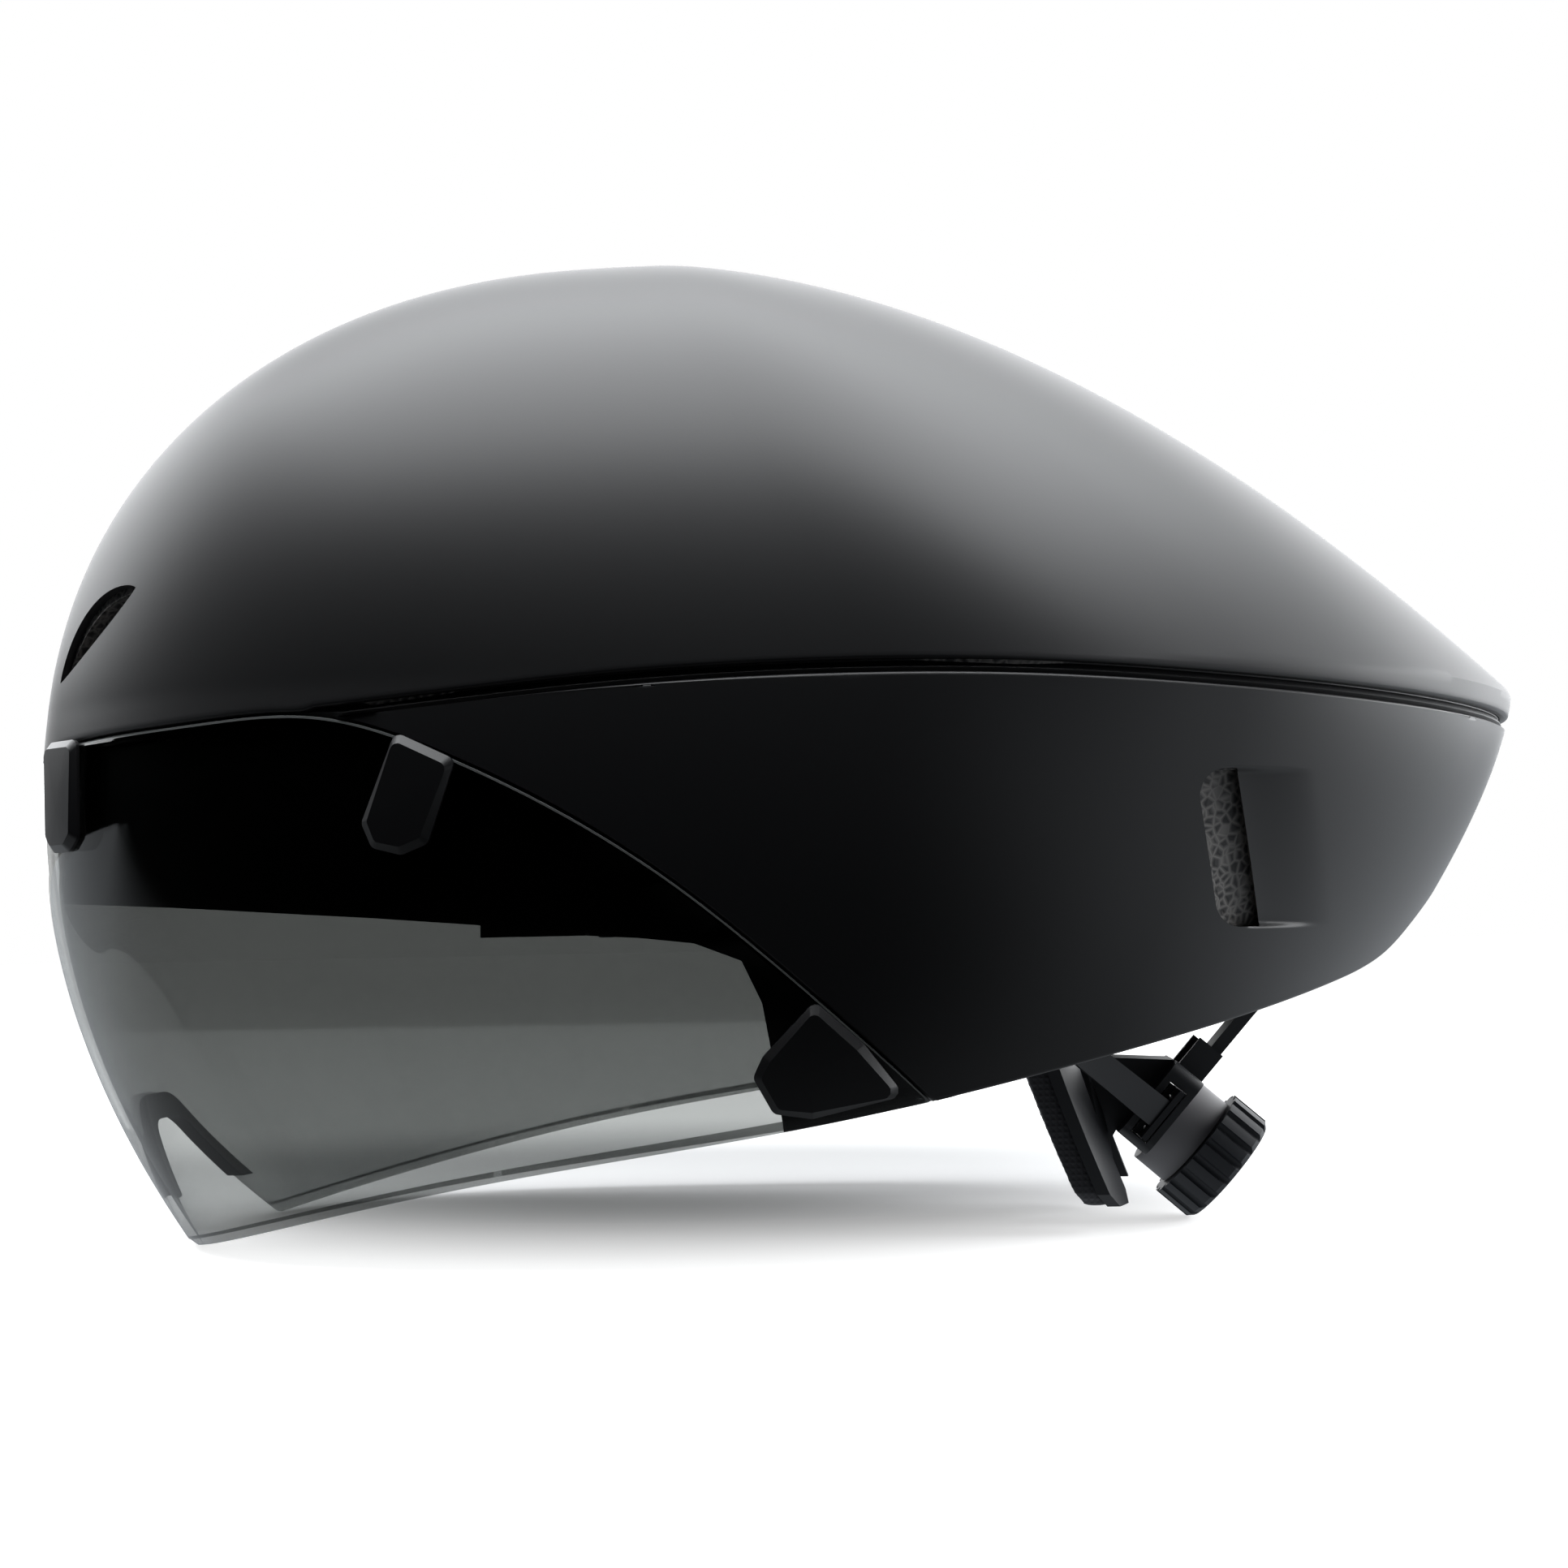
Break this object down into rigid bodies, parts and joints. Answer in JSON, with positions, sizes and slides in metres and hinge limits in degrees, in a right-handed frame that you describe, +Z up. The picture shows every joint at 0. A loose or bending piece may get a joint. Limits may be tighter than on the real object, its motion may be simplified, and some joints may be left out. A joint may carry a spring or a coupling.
{
  "type": "aero time trial helmet",
  "caption": "Long smooth time trial cycling helmet with a magnet-held smoke face shield, foam liner, chin strap and a rear fit dial on a height mast.",
  "frame": {"origin": "centre of the bounding box on the surface that the helmet stands on, resting on its two lens tips and the fit dial", "axes": "+X towards the tail, front at -X, +Y towards the wearer's right, +Z up"},
  "size_m": [0.3075, 0.208, 0.2017],
  "materials": {
    "shell_upper": "satin matte black moulded shell",
    "shell_lower": "satin matte black moulded shell",
    "foam": "expanded bead foam, charcoal",
    "lens": "smoke grey tinted polycarbonate, glossy",
    "trim": "soft black rubber",
    "tab": "fine matte black plastic",
    "magnet": "nickel plated magnet",
    "pad": "charcoal brushed knit over foam",
    "webbing": "black woven webbing",
    "buckle": "black acetal",
    "fit": "black nylon, fine grain",
    "base": "grey elastomer",
    "dial": "satin black plastic",
    "grip": "knurled black rubber"
  },
  "bodies": {
    "helmet": {"upper_shell": "shell_upper", "lower_shell": "shell_lower", "foam_liner": "foam", "helmet_magnets": "magnet", "brow_pad": "pad", "side_pad_left": "pad", "side_pad_right": "pad", "crown_pad": "pad", "chin_strap_left": "webbing", "chin_strap_right": "webbing", "front_strap_left": "webbing", "front_strap_right": "webbing", "rear_strap_left": "webbing", "rear_strap_right": "webbing", "strap_keeper": "trim", "strap_anchors": "buckle", "strap_divider_left": "buckle", "strap_divider_right": "buckle", "buckle_female": "buckle", "temple_guides": "buckle", "mast_socket": "buckle"},
    "shield": {"shield_lens": "lens", "nose_trim": "trim", "front_tab_left": "tab", "front_tab_right": "tab", "side_tab_left": "tab", "side_tab_right": "tab", "rear_tab_left": "tab", "rear_tab_right": "tab", "shield_magnets": "magnet"},
    "mast": {"height_mast": "fit"},
    "cradle": {"dial_base": "base", "rack_housing": "fit", "belt_left": "fit", "belt_right": "fit", "fit_cradle": "fit", "nape_pad_left": "pad", "nape_pad_right": "pad"},
    "dial": {"dial_knob": "dial", "dial_grip": "grip", "dial_pinion": "fit", "dial_cap": "dial"},
    "buckle": {"buckle_male": "buckle"}
  },
  "joints": [
    {"name": "shield_pull", "type": "slide", "parent": "helmet", "child": "shield", "axis": [-1, 0, 0], "range_m": [0, 0.25]},
    {"name": "cradle_height", "type": "slide", "parent": "helmet", "child": "mast", "axis": [0.6561, 0, 0.7547], "range_m": [-0.004, 0.008]},
    {"name": "cradle_draw", "type": "slide", "parent": "mast", "child": "cradle", "axis": [-1, 0, 0], "range_m": [0, 0.012]},
    {"name": "dial_turn", "type": "hinge", "parent": "cradle", "child": "dial", "pos_m": [0.0863, 0, 0.01506], "axis": [0.7547, 0, -0.6561], "range_deg": [0, 137.6]},
    {"name": "buckle_release", "type": "slide", "parent": "helmet", "child": "buckle", "axis": [0, 1, 0], "range_m": [0, 0.0105], "deforming": ["chin_strap_right"]}
  ],
  "couplings": [
    {"joint": "dial_turn", "follows": "cradle_draw", "rad_per_m": 200}
  ]
}
